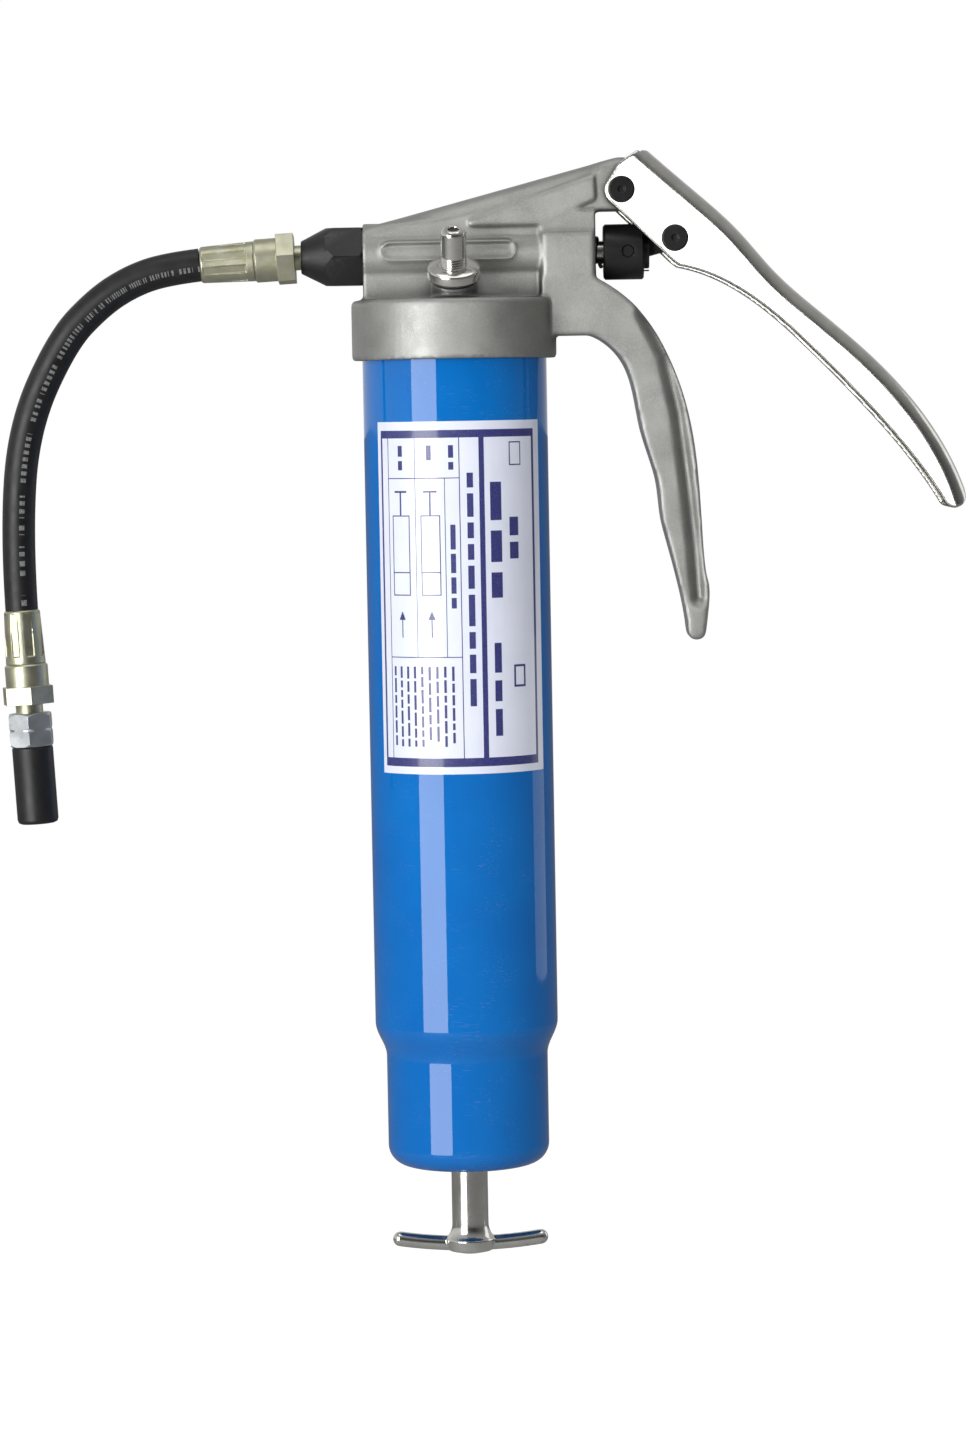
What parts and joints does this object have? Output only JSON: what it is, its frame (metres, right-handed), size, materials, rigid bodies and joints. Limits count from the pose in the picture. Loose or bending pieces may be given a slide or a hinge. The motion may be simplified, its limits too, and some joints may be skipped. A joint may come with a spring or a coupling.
{
  "type": "grease gun",
  "caption": "One-hand pistol-lever cartridge grease gun with a steel barrel, cast head and fixed grip, plated squeeze lever, spring follower with T-handle and a whip hose with coupler.",
  "frame": {"origin": "on the barrel's axis, in the plane of the collar's lower face, where the barrel leaves the head", "axes": "+Z along the barrel towards the head, +X towards the grip and lever, -Y towards the side with the filler valve"},
  "size_m": [0.3052, 0.0651, 0.3484],
  "materials": {
    "cast_alloy": "satin die casting",
    "barrel_paint": "gloss blue paint",
    "label_print": "printed film",
    "nickel_plate": "bright nickel plate",
    "black_steel": "black oxide, oiled",
    "yellow_zinc": "yellow passivated zinc",
    "clear_zinc": "clear zinc plate",
    "polished_steel": "ground steel",
    "spring_steel": "drawn wire",
    "hose_rubber": "moulded black rubber",
    "seal_rubber": "moulded black rubber"
  },
  "bodies": {
    "head": {"head_casting": "cast_alloy", "barrel": "barrel_paint", "barrel_gasket": "seal_rubber", "barrel_label": "label_print", "rod_guide_bush": "black_steel", "valve_washer": "seal_rubber", "valve_body": "clear_zinc", "valve_spring": "spring_steel", "plunger_seal": "seal_rubber", "return_spring": "black_steel", "outlet_adapter": "black_steel", "outlet_spring": "spring_steel", "hose_inlet_fitting": "yellow_zinc", "hose_inlet_ferrule": "yellow_zinc", "hose": "hose_rubber", "hose_outlet_ferrule": "yellow_zinc", "hose_outlet_fitting": "yellow_zinc", "coupler_locknut": "clear_zinc", "coupler_sleeve": "black_steel", "coupler_jaws": "polished_steel", "coupler_seal": "seal_rubber", "coupler_spring": "spring_steel", "follower_spring": "spring_steel"},
    "lever": {"lever": "nickel_plate", "lever_pivot_pin": "black_steel", "lever_drive_pin": "black_steel"},
    "plunger": {"plunger": "polished_steel", "crosshead": "black_steel", "wrist_pin": "polished_steel"},
    "link": {"toggle_link": "black_steel"},
    "follower": {"follower_cup": "seal_rubber", "follower_plate": "clear_zinc"},
    "rod": {"follower_rod": "clear_zinc", "rod_clip": "spring_steel", "t_handle": "clear_zinc"},
    "bleed_pin": {"valve_pin": "clear_zinc"},
    "check_ball": {"outlet_ball": "polished_steel"}
  },
  "joints": [
    {"name": "lever_pivot", "type": "hinge", "parent": "head", "child": "lever", "pos_m": [0.0531, 0, 0.0519], "axis": [0, 1, 0], "range_deg": [0, 30]},
    {"name": "plunger_slide", "type": "slide", "parent": "head", "child": "plunger", "axis": [-1, 0, 0], "range_m": [0, 0.0103], "stiffness_N_per_m": 1200, "springref_m": -0.02, "deforming": ["return_spring"]},
    {"name": "link_swing", "type": "hinge", "parent": "plunger", "child": "link", "pos_m": [0.055, 0, 0.0327], "axis": [0, 1, 0], "range_deg": [0, 25.6]},
    {"name": "follower_slide", "type": "slide", "parent": "head", "child": "follower", "axis": [0, 0, -1], "range_m": [0, 0.185], "stiffness_N_per_m": 250, "springref_m": -0.16, "deforming": ["follower_spring"]},
    {"name": "rod_turn", "type": "hinge", "parent": "follower", "child": "rod", "pos_m": [0, 0, -0.2557], "axis": [0, 0, 1], "continuous": true},
    {"name": "bleed_pin_press", "type": "slide", "parent": "head", "child": "bleed_pin", "axis": [0, 0.454, -0.891], "range_m": [0, 0.002], "stiffness_N_per_m": 500, "springref_m": -0.003, "deforming": ["valve_spring"]},
    {"name": "check_ball_lift", "type": "slide", "parent": "head", "child": "check_ball", "axis": [-1, 0, 0], "range_m": [0, 0.0015], "stiffness_N_per_m": 300, "springref_m": -0.004, "deforming": ["outlet_spring"]}
  ],
  "couplings": [
    {"joint": "plunger_slide", "follows": "lever_pivot", "m_per_rad": 0.019494},
    {"joint": "link_swing", "follows": "lever_pivot", "ratio": 0.845}
  ]
}
